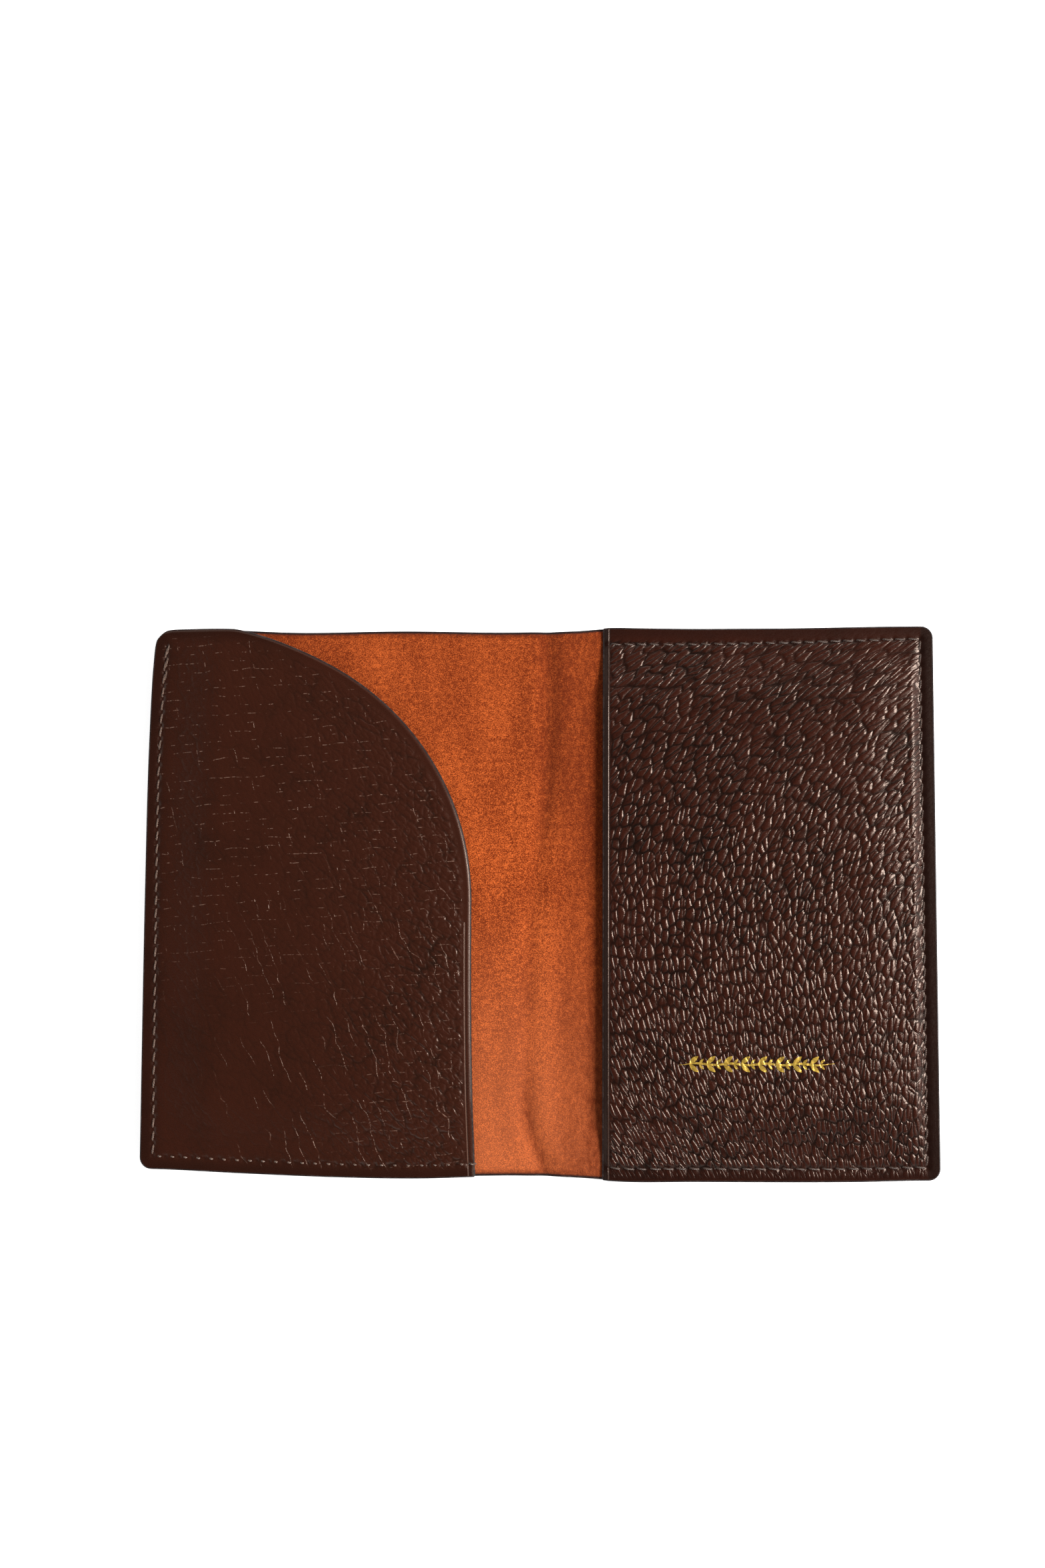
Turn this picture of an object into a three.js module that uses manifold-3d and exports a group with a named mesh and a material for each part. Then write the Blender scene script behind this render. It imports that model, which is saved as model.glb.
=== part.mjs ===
// Passport holder wallet, lying open with its inside up.
// Millimetres. +X runs from the front cover to the back cover, +Y to the head of the wallet and +Z up.
// The origin is the centre of the footprint, on the face that lies on the table.
//
// Each half is a stack: cover leather, a stiffener, the suede lining, and a leather pocket panel sewn on
// with a lockstitch. A lockstitch has two threads: the needle thread lies on the pocket panels, and the
// bobbin thread lies in a groove under the cover. The cover and lining fold along two lines at the
// spine.

import * as THREE from 'three';
import { mergeVertices } from 'three/addons/utils/BufferGeometryUtils.js';
import Module from 'manifold-3d';

const wasm = await Module();
wasm.setup();

// ---- Driving dimensions ----
const OPEN_LENGTH = 199.4;
const HEIGHT = 137;
const CORNER_RADIUS = 3;
const FOLD_X = 4.5; // the two folds lie at x = -FOLD_X and x = +FOLD_X
const FOLD_GAP = 0.3; // between pieces that turn against each other at a fold
const BOND = 0.05; // glue line between two layers
const PAINT = 0.3; // edge paint, over every cut edge

const COVER_THICKNESS = 1.2;
const STIFFENER_THICKNESS = 0.4;
const STIFFENER_INSET = 7; // from the wallet's edge, so that the seams miss it
const STIFFENER_TO_FOLD = 3.5;
const LINING_THICKNESS = 0.85; // half of it is skived away over the stiffener
const PANEL_THICKNESS = 1.1;
const SLOT_DEPTH = 1.5; // room under a pocket panel for the passport's cover
const FLANGE = 6; // sewn margin of a pocket panel, flat on the lining
const SLOPE = 4; // run over which the panel rises from its margin to its full height

const SEAM_INSET = 3.3; // seams from the wallet's edge
const HEAD_SEAM_INSET = 4.5; // the seam along the back pocket's head lies further in
const SEAM_END = 1.7; // a seam stops this far from a pocket's free edge
const STITCH = 3.3;
const THREAD_WIDTH = 0.7;
const THREAD_THICKNESS = 0.4;
const GROOVE_WIDTH = 0.9;
const NEEDLE_GROOVE_DEPTH = 0.5;
const BOBBIN_GROOVE_DEPTH = 0.6;
const NEEDLE_RISE = 0.25; // top of a stitch above the panel
const NEEDLE_DIP = 0.3; // how far a stitch goes down at its holes
const BOBBIN_CLEARANCE = 0.1; // the bobbin thread stays this far above the table
const CORNER_MARGIN = 0.03;

const BACK_POCKET_FREE_X = 17;
const FRONT_POCKET_FREE_X = -15.8; // the straight stretch of its free edge
const FRONT_POCKET_FOOT_X = -14.4;
const FRONT_POCKET_TOP_X = -87; // where the sweep reaches the head
const SWEEP_START_Y = -1.3;

const FOIL_CENTRE = [55, -40];
const FOIL_LENGTH = 38;
const FOIL_THICKNESS = 0.05;
const STEM_WIDTH = 0.5;
const LEAF_PAIRS = 8;
const LEAF_LENGTH = 2.6;
const LEAF_WIDTH = 1.1;
const LEAF_TILT = Math.PI / 4;

// ---- Levels, worked out from the stack ----
const HALF_LENGTH = OPEN_LENGTH / 2;
const HALF_HEIGHT = HEIGHT / 2;
const LINING_BOTTOM = COVER_THICKNESS + BOND;
const LINING_TOP = LINING_BOTTOM + LINING_THICKNESS;
const PANEL_BOTTOM = LINING_TOP + BOND;
const FLANGE_TOP = PANEL_BOTTOM + PANEL_THICKNESS;
const PANEL_TOP = FLANGE_TOP + SLOT_DEPTH;
const FOOT_SEAM_Y = SEAM_INSET - HALF_HEIGHT;
const HEAD_SEAM_Y = HALF_HEIGHT - HEAD_SEAM_INSET;
const SIDE_SEAM_X = HALF_LENGTH - SEAM_INSET;
const LEATHER_INSET = PAINT + BOND; // a leather edge lies this far inside its painted outline
const BEYOND = 1; // how far a cutting solid runs past what it cuts

// ---- Materials ----
function material(color, roughness, metalness = 0) {
  return new THREE.MeshStandardMaterial({ color, roughness, metalness });
}

const coverLeather = material(0x3a211b, 0.5);
const panelLeather = material(0x41241d, 0.42);
const suede = material(0xb5562a, 0.95);
const stiffenerBoard = material(0x8a7a63, 0.9);
const thread = material(0x6b5546, 0.6);
const paint = material(0x2c2220, 0.45);
const foil = material(0xc9a23f, 0.3, 1);

// ---- Solids ----
function solidOf(geometry) {
  geometry.deleteAttribute('normal');
  geometry.deleteAttribute('uv');
  const merged = mergeVertices(geometry);
  return new wasm.Manifold(new wasm.Mesh({
    numProp: 3,
    vertProperties: merged.attributes.position.array,
    triVerts: new Uint32Array(merged.index.array),
  }));
}

function plate(outline, low, high) {
  const geometry = new THREE.ExtrudeGeometry(new THREE.Shape(outline), {
    depth: high - low,
    bevelEnabled: false,
  });
  return solidOf(geometry.translate(0, 0, low));
}

function block(xLow, xHigh, yLow, yHigh, low, high) {
  const geometry = new THREE.BoxGeometry(xHigh - xLow, yHigh - yLow, high - low);
  return solidOf(geometry.translate((xLow + xHigh) / 2, (yLow + yHigh) / 2, (low + high) / 2));
}

// A solid drawn in profile, as (distance, height) points, and carried from one side of the wallet to the
// other. Distance is X or Y, and the profile is carried along the other of the two, centred on `middle`.
const PROFILE_AXES = {
  x: new THREE.Matrix4().makeBasis(
    new THREE.Vector3(1, 0, 0), new THREE.Vector3(0, 0, 1), new THREE.Vector3(0, -1, 0)),
  y: new THREE.Matrix4().makeBasis(
    new THREE.Vector3(0, 1, 0), new THREE.Vector3(0, 0, 1), new THREE.Vector3(1, 0, 0)),
};

function profileSolid(points, axis, width, middle = 0) {
  const shape = new THREE.Shape(points.map(([distance, height]) => new THREE.Vector2(distance, height)));
  const geometry = new THREE.ExtrudeGeometry(shape, { depth: width, bevelEnabled: false });
  geometry.translate(0, 0, -width / 2);
  geometry.applyMatrix4(PROFILE_AXES[axis]);
  return solidOf(axis === 'x' ? geometry.translate(0, middle, 0) : geometry.translate(middle, 0, 0));
}

function meshOf(name, solid, look) {
  const { vertProperties, triVerts } = solid.getMesh();
  const geometry = new THREE.BufferGeometry();
  geometry.setAttribute('position', new THREE.BufferAttribute(new Float32Array(vertProperties), 3));
  geometry.setIndex(new THREE.BufferAttribute(new Uint32Array(triVerts), 1));
  geometry.computeVertexNormals();
  const mesh = new THREE.Mesh(geometry, look);
  mesh.name = name;
  return mesh;
}

// ---- Outlines, anticlockwise and over the paint ----
function outlineOf(shape, pointsPerCurve) {
  const points = shape.getPoints(pointsPerCurve);
  return points.filter((point, i) => point.distanceTo(points[(i + 1) % points.length]) > 0.01);
}

// The same outline moved in by a distance, with mitred corners.
function inset(outline, distance) {
  return outline.map((point, i) => {
    const before = outline[(i + outline.length - 1) % outline.length];
    const after = outline[(i + 1) % outline.length];
    const arriving = point.clone().sub(before).normalize();
    const leaving = after.clone().sub(point).normalize();
    const inward = new THREE.Vector2(-arriving.y - leaving.y, arriving.x + leaving.x);
    const halfAngleCosine = inward.length() / 2;
    return point.clone().addScaledVector(inward.normalize(), distance / halfAngleCosine);
  });
}

function roundedCorner(shape, x, y, startAngle) {
  shape.absarc(x, y, CORNER_RADIUS, startAngle, startAngle + Math.PI / 2, false);
}

const CORNER_X = HALF_LENGTH - CORNER_RADIUS;
const CORNER_Y = HALF_HEIGHT - CORNER_RADIUS;

function walletOutline() {
  const shape = new THREE.Shape();
  roundedCorner(shape, -CORNER_X, -CORNER_Y, Math.PI);
  roundedCorner(shape, CORNER_X, -CORNER_Y, -Math.PI / 2);
  roundedCorner(shape, CORNER_X, CORNER_Y, 0);
  roundedCorner(shape, -CORNER_X, CORNER_Y, Math.PI / 2);
  return outlineOf(shape, 5);
}

// The front pocket's free edge climbs from the foot, then sweeps away to the head of the wallet.
function frontPocketOutline() {
  const shape = new THREE.Shape();
  roundedCorner(shape, -CORNER_X, -CORNER_Y, Math.PI);
  shape.lineTo(FRONT_POCKET_FOOT_X, -HALF_HEIGHT);
  shape.bezierCurveTo(
    FRONT_POCKET_FOOT_X - 0.6, -54, FRONT_POCKET_FREE_X, -36, FRONT_POCKET_FREE_X, SWEEP_START_Y);
  shape.bezierCurveTo(
    FRONT_POCKET_FREE_X, 39, -49.8, HALF_HEIGHT - 0.2, FRONT_POCKET_TOP_X, HALF_HEIGHT);
  roundedCorner(shape, -CORNER_X, CORNER_Y, Math.PI / 2);
  return outlineOf(shape, 16);
}

function backPocketOutline() {
  const shape = new THREE.Shape();
  shape.moveTo(BACK_POCKET_FREE_X, -HALF_HEIGHT);
  shape.lineTo(CORNER_X, -HALF_HEIGHT);
  roundedCorner(shape, CORNER_X, -CORNER_Y, -Math.PI / 2);
  roundedCorner(shape, CORNER_X, CORNER_Y, 0);
  shape.lineTo(BACK_POCKET_FREE_X, HALF_HEIGHT);
  return outlineOf(shape, 5);
}

// ---- Cover, lining and stiffeners: one wallet-sized plate, parted at the folds ----
const REACH = OPEN_LENGTH;
const FRONT_SPAN = [-REACH, -FOLD_X - FOLD_GAP / 2];
const SPINE_SPAN = [FOLD_GAP / 2 - FOLD_X, FOLD_X - FOLD_GAP / 2];
const BACK_SPAN = [FOLD_X + FOLD_GAP / 2, REACH];

function within(solid, [xLow, xHigh]) {
  return solid.intersect(block(xLow, xHigh, -REACH, REACH, -BEYOND, PANEL_TOP + BEYOND));
}

function stiffenerBlock(side, clearance, low, high) {
  const outer = HALF_LENGTH - STIFFENER_INSET + clearance;
  const inner = FOLD_X + STIFFENER_TO_FOLD - clearance;
  const halfHeight = HALF_HEIGHT - STIFFENER_INSET + clearance;
  const [xLow, xHigh] = side < 0 ? [-outer, -inner] : [inner, outer];
  return block(xLow, xHigh, -halfHeight, halfHeight, low, high);
}

function stiffener(side) {
  return stiffenerBlock(side, 0, LINING_BOTTOM, LINING_BOTTOM + STIFFENER_THICKNESS);
}

function linedPlate() {
  const plain = plate(inset(walletOutline(), LEATHER_INSET), LINING_BOTTOM, LINING_TOP);
  const recessTop = LINING_BOTTOM + STIFFENER_THICKNESS + BOND;
  return [-1, 1].reduce(
    (solid, side) => solid.subtract(stiffenerBlock(side, BOND, COVER_THICKNESS, recessTop)), plain);
}

function paintedRim() {
  const outline = walletOutline();
  const rim = plate(outline, BOND, LINING_TOP - BOND);
  return rim.subtract(plate(inset(outline, PAINT), -BEYOND, LINING_TOP + BEYOND));
}

// ---- Pocket panels ----
// A panel is its outline, bent down at each sewn side: the solid under its upper face, less the solid
// under its lower face. `sewn` names the sides, and x and y give the panel's whole reach.
function bentProfile([low, high], [lowSewn, highSewn], flangeHeight, fullHeight) {
  const points = [[low - BEYOND, -BEYOND], [high + BEYOND, -BEYOND]];
  if (highSewn) {
    points.push([high + BEYOND, flangeHeight], [high - FLANGE, flangeHeight]);
    points.push([high - FLANGE - SLOPE, fullHeight]);
  } else {
    points.push([high + BEYOND, fullHeight]);
  }
  if (lowSewn) {
    points.push([low + FLANGE + SLOPE, fullHeight]);
    points.push([low + FLANGE, flangeHeight], [low - BEYOND, flangeHeight]);
  } else {
    points.push([low - BEYOND, fullHeight]);
  }
  return points;
}

function under(sewn, flangeHeight, fullHeight) {
  const length = [-HALF_LENGTH, HALF_LENGTH];
  const height = [-HALF_HEIGHT, HALF_HEIGHT];
  const alongX = bentProfile(length, [sewn.front, sewn.back], flangeHeight, fullHeight);
  const alongY = bentProfile(height, [sewn.foot, sewn.head], flangeHeight, fullHeight);
  return profileSolid(alongX, 'x', 2 * REACH).intersect(profileSolid(alongY, 'y', 2 * REACH));
}

function bentPanel(flat, sewn) {
  const slot = under(sewn, PANEL_BOTTOM - BOND, PANEL_BOTTOM + SLOT_DEPTH);
  return flat.intersect(under(sewn, FLANGE_TOP, PANEL_TOP)).subtract(slot);
}

function panel(outline, sewn) {
  return bentPanel(plate(inset(outline, LEATHER_INSET), PANEL_BOTTOM, PANEL_TOP + BEYOND), sewn);
}

function panelPaint(outline, sewn) {
  const ring = plate(outline, PANEL_BOTTOM, PANEL_TOP + BEYOND);
  return bentPanel(ring.subtract(plate(inset(outline, PAINT), 0, PANEL_TOP + 2 * BEYOND)), sewn);
}

// ---- Seams: a list of straight runs, each along one axis at a fixed place on the other ----
const FRONT_RUNS = [
  { axis: 'y', at: -SIDE_SEAM_X, from: FOOT_SEAM_Y, to: HEAD_SEAM_Y },
  { axis: 'x', at: FOOT_SEAM_Y, from: -SIDE_SEAM_X, to: FRONT_POCKET_FOOT_X - SEAM_END },
];
const BACK_RUNS = [
  { axis: 'x', at: FOOT_SEAM_Y, from: BACK_POCKET_FREE_X + SEAM_END, to: SIDE_SEAM_X },
  { axis: 'y', at: SIDE_SEAM_X, from: FOOT_SEAM_Y, to: HEAD_SEAM_Y },
  { axis: 'x', at: HEAD_SEAM_Y, from: BACK_POCKET_FREE_X + SEAM_END, to: SIDE_SEAM_X },
];
const FRONT_CORNERS = [[-SIDE_SEAM_X, FOOT_SEAM_Y]];
const BACK_CORNERS = [[SIDE_SEAM_X, FOOT_SEAM_Y], [SIDE_SEAM_X, HEAD_SEAM_Y]];

function together(solids) {
  return solids.reduce((all, solid) => all.add(solid));
}

function groove(runs, low, high) {
  const half = GROOVE_WIDTH / 2;
  return together(runs.map(({ axis, at, from, to }) => (axis === 'x'
    ? block(from - half, to + half, at - half, at + half, low, high)
    : block(at - half, at + half, from - half, to + half, low, high))));
}

// One run of needle thread: it goes down at each hole and rises over the leather between two holes.
function needleRun({ axis, at, from, to }) {
  const stitches = Math.round((to - from) / STITCH);
  const pitch = (to - from) / stitches;
  const crest = FLANGE_TOP + NEEDLE_RISE;
  const upper = [];
  for (let i = 0; i <= stitches; i += 1) {
    upper.push([from + i * pitch, crest - NEEDLE_DIP]);
    if (i < stitches) {
      upper.push([from + (i + 0.5) * pitch, crest]);
    }
  }
  const lower = upper.map(([distance, height]) => [distance, height - THREAD_THICKNESS]);
  return profileSolid([...lower, ...upper.reverse()], axis, THREAD_WIDTH, at);
}

function bobbinRun({ axis, at, from, to }) {
  const half = THREAD_WIDTH / 2;
  const top = BOBBIN_CLEARANCE + THREAD_THICKNESS;
  return axis === 'x'
    ? block(from, to, at - half, at + half, BOBBIN_CLEARANCE, top)
    : block(at - half, at + half, from, to, BOBBIN_CLEARANCE, top);
}

// Where two runs meet, thread fills the corner hole, a little fuller than the runs that it joins.
function cornerFill([x, y], low, high) {
  const half = THREAD_WIDTH / 2 + CORNER_MARGIN;
  return block(x - half, x + half, y - half, y + half, low - CORNER_MARGIN, high + CORNER_MARGIN);
}

function needleThread(runs, corners) {
  const high = FLANGE_TOP + NEEDLE_RISE - NEEDLE_DIP;
  const fills = corners.map((place) => cornerFill(place, high - THREAD_THICKNESS, high));
  return together([...runs.map(needleRun), ...fills]);
}

function bobbinThread(runs, corners) {
  const high = BOBBIN_CLEARANCE + THREAD_THICKNESS;
  const fills = corners.map((place) => cornerFill(place, BOBBIN_CLEARANCE, high));
  return together([...runs.map(bobbinRun), ...fills]);
}

// ---- Foil ornament: a stem with paired leaves, stamped on the back pocket ----
function leaf(x, side) {
  const tip = new THREE.Vector2(LEAF_LENGTH, 0);
  const shoulder = new THREE.Vector2(LEAF_LENGTH / 2, LEAF_WIDTH / 2);
  const points = [new THREE.Vector2(0, 0), new THREE.Vector2(shoulder.x, -shoulder.y), tip, shoulder];
  const root = new THREE.Vector2(x, 0);
  const centre = new THREE.Vector2(0, 0);
  const turned = points.map((point) => point.rotateAround(centre, side * LEAF_TILT).add(root));
  return plate(turned, 0, FOIL_THICKNESS);
}

function foilOrnament() {
  const stemHalf = STEM_WIDTH / 2;
  const parts = [block(-FOIL_LENGTH / 2, FOIL_LENGTH / 2, -stemHalf, stemHalf, 0, FOIL_THICKNESS)];
  const spacing = FOIL_LENGTH / (LEAF_PAIRS + 1);
  for (let i = 0; i < LEAF_PAIRS; i += 1) {
    const x = (i + 0.6) * spacing - FOIL_LENGTH / 2;
    parts.push(leaf(x, 1), leaf(x, -1));
  }
  return together(parts).translate([...FOIL_CENTRE, PANEL_TOP + BOND]);
}

// ---- The wallet ----
const FRONT_SEWN = { front: true, back: false, foot: true, head: false };
const BACK_SEWN = { front: false, back: true, foot: true, head: true };
const coverPlate = plate(inset(walletOutline(), LEATHER_INSET), 0, COVER_THICKNESS);
const bobbinGroove = (runs) => groove(runs, -BEYOND, BOBBIN_GROOVE_DEPTH);
const needleGroove = (runs) => groove(runs, FLANGE_TOP - NEEDLE_GROOVE_DEPTH, FLANGE_TOP + BEYOND);
const frontPanel = panel(frontPocketOutline(), FRONT_SEWN).subtract(needleGroove(FRONT_RUNS));
const backPanel = panel(backPocketOutline(), BACK_SEWN).subtract(needleGroove(BACK_RUNS));
const liningPlate = linedPlate();
const rim = paintedRim();

const frontHalf = new THREE.Group();
frontHalf.add(
  meshOf('cover_front', within(coverPlate, FRONT_SPAN).subtract(bobbinGroove(FRONT_RUNS)), coverLeather),
  meshOf('stiffener_front', stiffener(-1), stiffenerBoard),
  meshOf('lining_front', within(liningPlate, FRONT_SPAN), suede),
  meshOf('pocket_front', frontPanel, panelLeather),
  meshOf('edge_paint_front', within(rim, FRONT_SPAN), paint),
  meshOf('edge_paint_pocket_front', panelPaint(frontPocketOutline(), FRONT_SEWN), paint),
  meshOf('needle_thread_front', needleThread(FRONT_RUNS, FRONT_CORNERS), thread),
  meshOf('bobbin_thread_front', bobbinThread(FRONT_RUNS, FRONT_CORNERS), thread),
);

const foot = block(-REACH, REACH, -REACH, 0, -BEYOND, PANEL_TOP);
const spineRim = within(rim, SPINE_SPAN);
const spine = new THREE.Group();
spine.add(
  meshOf('cover_spine', within(coverPlate, SPINE_SPAN), coverLeather),
  meshOf('lining_spine', within(liningPlate, SPINE_SPAN), suede),
  meshOf('edge_paint_spine_foot', spineRim.intersect(foot), paint),
  meshOf('edge_paint_spine_head', spineRim.subtract(foot), paint),
);

const backHalf = new THREE.Group();
backHalf.add(
  meshOf('cover_back', within(coverPlate, BACK_SPAN).subtract(bobbinGroove(BACK_RUNS)), coverLeather),
  meshOf('stiffener_back', stiffener(1), stiffenerBoard),
  meshOf('lining_back', within(liningPlate, BACK_SPAN), suede),
  meshOf('pocket_back', backPanel, panelLeather),
  meshOf('edge_paint_back', within(rim, BACK_SPAN), paint),
  meshOf('edge_paint_pocket_back', panelPaint(backPocketOutline(), BACK_SEWN), paint),
  meshOf('needle_thread_back', needleThread(BACK_RUNS, BACK_CORNERS), thread),
  meshOf('bobbin_thread_back', bobbinThread(BACK_RUNS, BACK_CORNERS), thread),
  meshOf('foil_ornament', foilOrnament(), foil),
);

const wallet = new THREE.Group();
wallet.add(frontHalf, spine, backHalf);

export default wallet;
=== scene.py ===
"""Looks of the passport holder wallet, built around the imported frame.

Shapes are worked out in millimetres, in the frame's own axes, and become metres when a mesh is made.
Each piece keeps its undisturbed place in the attribute "rest_mm", which its relief and materials read.
"""

import bpy
import numpy as np
from mathutils import Euler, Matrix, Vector


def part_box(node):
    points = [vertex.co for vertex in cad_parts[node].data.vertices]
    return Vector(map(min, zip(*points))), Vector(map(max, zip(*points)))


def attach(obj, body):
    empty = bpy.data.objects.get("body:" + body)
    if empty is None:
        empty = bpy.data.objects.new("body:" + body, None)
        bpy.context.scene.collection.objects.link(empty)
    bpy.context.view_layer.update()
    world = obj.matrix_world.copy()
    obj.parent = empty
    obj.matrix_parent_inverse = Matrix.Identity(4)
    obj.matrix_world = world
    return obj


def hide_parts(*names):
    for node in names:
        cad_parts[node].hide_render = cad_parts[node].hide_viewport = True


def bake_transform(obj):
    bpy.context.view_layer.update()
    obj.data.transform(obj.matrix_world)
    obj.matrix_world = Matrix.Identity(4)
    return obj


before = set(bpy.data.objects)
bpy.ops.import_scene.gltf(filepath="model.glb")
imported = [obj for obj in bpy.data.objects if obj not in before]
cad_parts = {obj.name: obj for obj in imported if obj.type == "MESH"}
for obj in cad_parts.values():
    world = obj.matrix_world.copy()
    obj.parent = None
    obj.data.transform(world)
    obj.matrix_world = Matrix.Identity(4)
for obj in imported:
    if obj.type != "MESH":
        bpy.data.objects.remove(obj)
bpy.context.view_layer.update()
MM = 0.001


# ---- Sizes, from the frame ----


def low_mm(node):
    return np.array(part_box(node)[0]) / MM


def high_mm(node):
    return np.array(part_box(node)[1]) / MM


HALF_LENGTH = high_mm("edge_paint_back")[0]
HALF_HEIGHT = high_mm("edge_paint_back")[1]
PAINT_REACH = HALF_LENGTH - high_mm("cover_back")[0]  # paint stands this far out of the leather's edge
LEATHER_X = HALF_LENGTH - PAINT_REACH
LEATHER_Y = HALF_HEIGHT - PAINT_REACH
OUTER_CORNER = 3.0
CORNER_RADIUS = OUTER_CORNER - PAINT_REACH
COVER_TOP = high_mm("cover_back")[2]
LINING_BOTTOM = low_mm("lining_back")[2]
LINING_TOP = high_mm("lining_back")[2]
PANEL_BOTTOM = low_mm("pocket_back")[2]
PANEL_TOP = high_mm("pocket_back")[2]
PANEL_THICKNESS = 1.1
FLANGE_TOP = PANEL_BOTTOM + PANEL_THICKNESS
BACK_FREE_X = low_mm("pocket_back")[0]

# Seams: the thread's solids are CORNER_FILL wider than the seam line on the sides where runs meet.
CORNER_FILL = 0.38
SIDE_SEAM_X = high_mm("needle_thread_back")[0] - CORNER_FILL
FOOT_SEAM_Y = low_mm("needle_thread_back")[1] + CORNER_FILL
HEAD_SEAM_Y = high_mm("needle_thread_back")[1] - CORNER_FILL
BACK_SEAM_START = low_mm("needle_thread_back")[0]
FRONT_SEAM_END = high_mm("needle_thread_front")[0]
STITCH = 3.3

# The front pocket's free edge, over its paint: up from the foot, then a sweep to the head.
SWEEP_FOOT_X = high_mm("edge_paint_pocket_front")[0]
SWEEP_X = -15.8
SWEEP_START_Y = -1.3
SWEEP_TOP_X = -87.0
SWEEP_PAST_HEAD = 0.8  # the curve is trimmed where it crosses the head


# ---- Small shape helpers ----


def smooth(value, low, high):
    """0 below low, 1 above high and smooth between them."""
    t = np.clip((value - low) / (high - low), 0, 1)
    return t * t * (3 - 2 * t)


def bump(value, centre, width):
    return np.exp(-(((value - centre) / width) ** 2))


def eased(value, knots):
    """A smooth curve through (place, height) knots, level at each end."""
    places, heights = np.array(knots, float).T
    index = np.clip(np.searchsorted(places, value) - 1, 0, len(places) - 2)
    run = np.diff(places)[index]
    slopes = np.gradient(heights, places)
    slopes[[0, -1]] = 0
    t = np.clip((value - places[index]) / run, 0, 1)
    a, b = heights[index], heights[index + 1]
    return (
        a * (2 * t**3 - 3 * t**2 + 1)
        + slopes[index] * run * (t**3 - 2 * t**2 + t)
        + b * (3 * t**2 - 2 * t**3)
        + slopes[index + 1] * run * (t**3 - t**2)
    )


def bezier(a, b, c, d, count):
    t = np.linspace(0, 1, count)[:, None]
    a, b, c, d = (np.array(p, float) for p in (a, b, c, d))
    return (1 - t) ** 3 * a + 3 * (1 - t) ** 2 * t * b + 3 * (1 - t) * t**2 * c + t**3 * d


def right_of(tangents):
    """Unit vectors to the right of tangents, which is outward for an anticlockwise outline."""
    x, y = (tangents / np.linalg.norm(tangents, axis=1, keepdims=True)).T
    return np.stack([y, -x], 1)


def distance_to_path(points, path):
    """Each point's distance to the nearest place on a polyline."""
    starts, steps = path[:-1], np.diff(path, axis=0)
    lengths = np.maximum((steps**2).sum(1), 1e-12)
    best = np.full(len(points), 1e9)
    for start, step, length in zip(starts, steps, lengths):
        along = np.clip(((points - start) @ step) / length, 0, 1)
        gap = points - start - along[:, None] * step
        best = np.minimum(best, (gap**2).sum(1))
    return np.sqrt(best)


# ---- How the wallet lies ----

# The hand-cut edges aren't quite straight. The head and foot stand out by this much along X, and the
# front's side stands in by this much along Y.
HEAD_LIE = [(-99, 0), (-82, 0.0), (-62, -0.75), (-34, -0.5), (-6, -0.9), (11, -0.6), (18, -0.1),
            (27, -0.2), (39, -0.4), (52, -0.4), (66, -0.35), (79, -0.15), (92, 0), (99, 0)]
FOOT_LIE = [(-99, 0), (-72, 0.8), (-50, 1.35), (-28, 1.35), (-12, 0.7), (1, 0.5), (13, 0.9), (21, 1.35),
            (40, 1.15), (80, 0.55), (97, 0)]
LEFT_LIE = [(-69, 0.6), (-40, 0.45), (0, 0.3), (40, 0.5), (55, 0.9), (69, 1.6)]
WORN_CORNER = 0.7  # the front's head corner is rubbed rounder than the others
WORN_REACH = 3.0


def settle(points):
    """Moves points from their undisturbed places to where the used leather lies."""
    x, y, z = points.T
    towards_head = smooth(y / LEATHER_Y, 0.1, 1.0)
    towards_foot = smooth(-y / LEATHER_Y, 0.1, 1.0)
    dy = eased(x, HEAD_LIE) * towards_head - eased(x, FOOT_LIE) * towards_foot
    dx = eased(y, LEFT_LIE) * smooth(-x / LEATHER_X, 0.5, 1.0)
    off_corner = (x + HALF_LENGTH) ** 2 + (y - HALF_HEIGHT) ** 2
    rubbed = WORN_CORNER * np.exp(-off_corner / WORN_REACH**2)
    return np.stack([x + dx + rubbed, y + dy - rubbed, z], axis=1)


# ---- Meshes ----


def make_object(name, points, polygons, **attributes):
    """A mesh object from undisturbed points in millimetres and groups of equal-sided polygons."""
    mesh = bpy.data.meshes.new(name)
    mesh.vertices.add(len(points))
    mesh.vertices.foreach_set("co", (settle(points) * MM).astype(np.float32).ravel())
    corners = np.concatenate([np.asarray(group).ravel() for group in polygons])
    sizes = np.concatenate([np.full(len(group), np.asarray(group).shape[1]) for group in polygons])
    mesh.loops.add(len(corners))
    mesh.loops.foreach_set("vertex_index", corners.astype(np.int32))
    mesh.polygons.add(len(sizes))
    mesh.polygons.foreach_set("loop_start", np.concatenate([[0], np.cumsum(sizes)[:-1]]).astype(np.int32))
    mesh.update(calc_edges=True)
    mesh.attributes.new("rest_mm", "FLOAT_VECTOR", "POINT").data.foreach_set(
        "vector", points.astype(np.float32).ravel())
    for key, values in attributes.items():
        mesh.attributes.new(key, "FLOAT", "POINT").data.foreach_set("value", values.astype(np.float32))
    mesh.shade_smooth()
    mesh.set_sharp_from_angle(angle=np.radians(55))
    piece = bpy.data.objects.new(name, mesh)
    bpy.context.scene.collection.objects.link(piece)
    return piece


def quads(grid):
    """The cells of a grid of vertex numbers, wound the same way as rim_loop."""
    return np.stack([grid[:-1, :-1], grid[:-1, 1:], grid[1:, 1:], grid[1:, :-1]], -1).reshape(-1, 4)


COARSE = 4  # the plain side of a slab has one cell for this many on its fine side


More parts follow.
